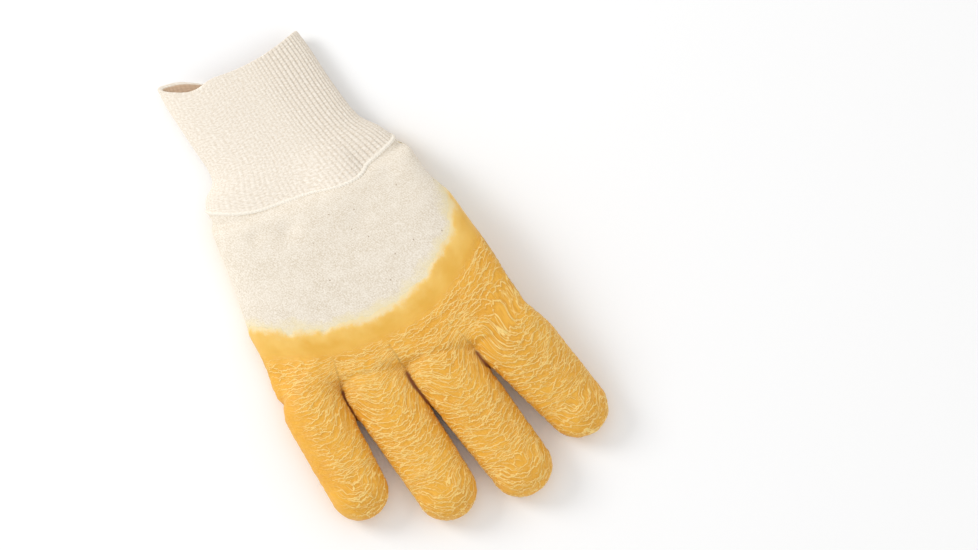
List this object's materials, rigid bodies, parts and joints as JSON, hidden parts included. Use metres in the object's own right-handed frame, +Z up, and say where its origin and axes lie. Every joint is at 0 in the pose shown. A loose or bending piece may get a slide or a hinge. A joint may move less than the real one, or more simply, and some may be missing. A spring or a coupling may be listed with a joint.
{
  "type": "latex coated work glove",
  "caption": "Right-hand cotton work glove dipped in crinkled latex over palm and fingers, with a bare cotton back and a ribbed knit wrist.",
  "frame": {"origin": "under the middle of the glove's box, on the floor", "axes": "+Y from the fingers to the wrist, +Z up from the palm to the back of the hand, +X towards the thumb side"},
  "size_m": [0.1414, 0.2758, 0.0349],
  "materials": {
    "knit": "matte ribbed knit, cream",
    "cotton": "matte cotton, cream with small brown flecks",
    "latex": "crinkled latex, orange yellow with paler ridges, half gloss"
  },
  "bodies": {
    "root": {"knit_wrist": "knit", "wrist_seam": "knit", "cotton_back": "cotton", "latex_coat": "latex"}
  },
  "joints": []
}
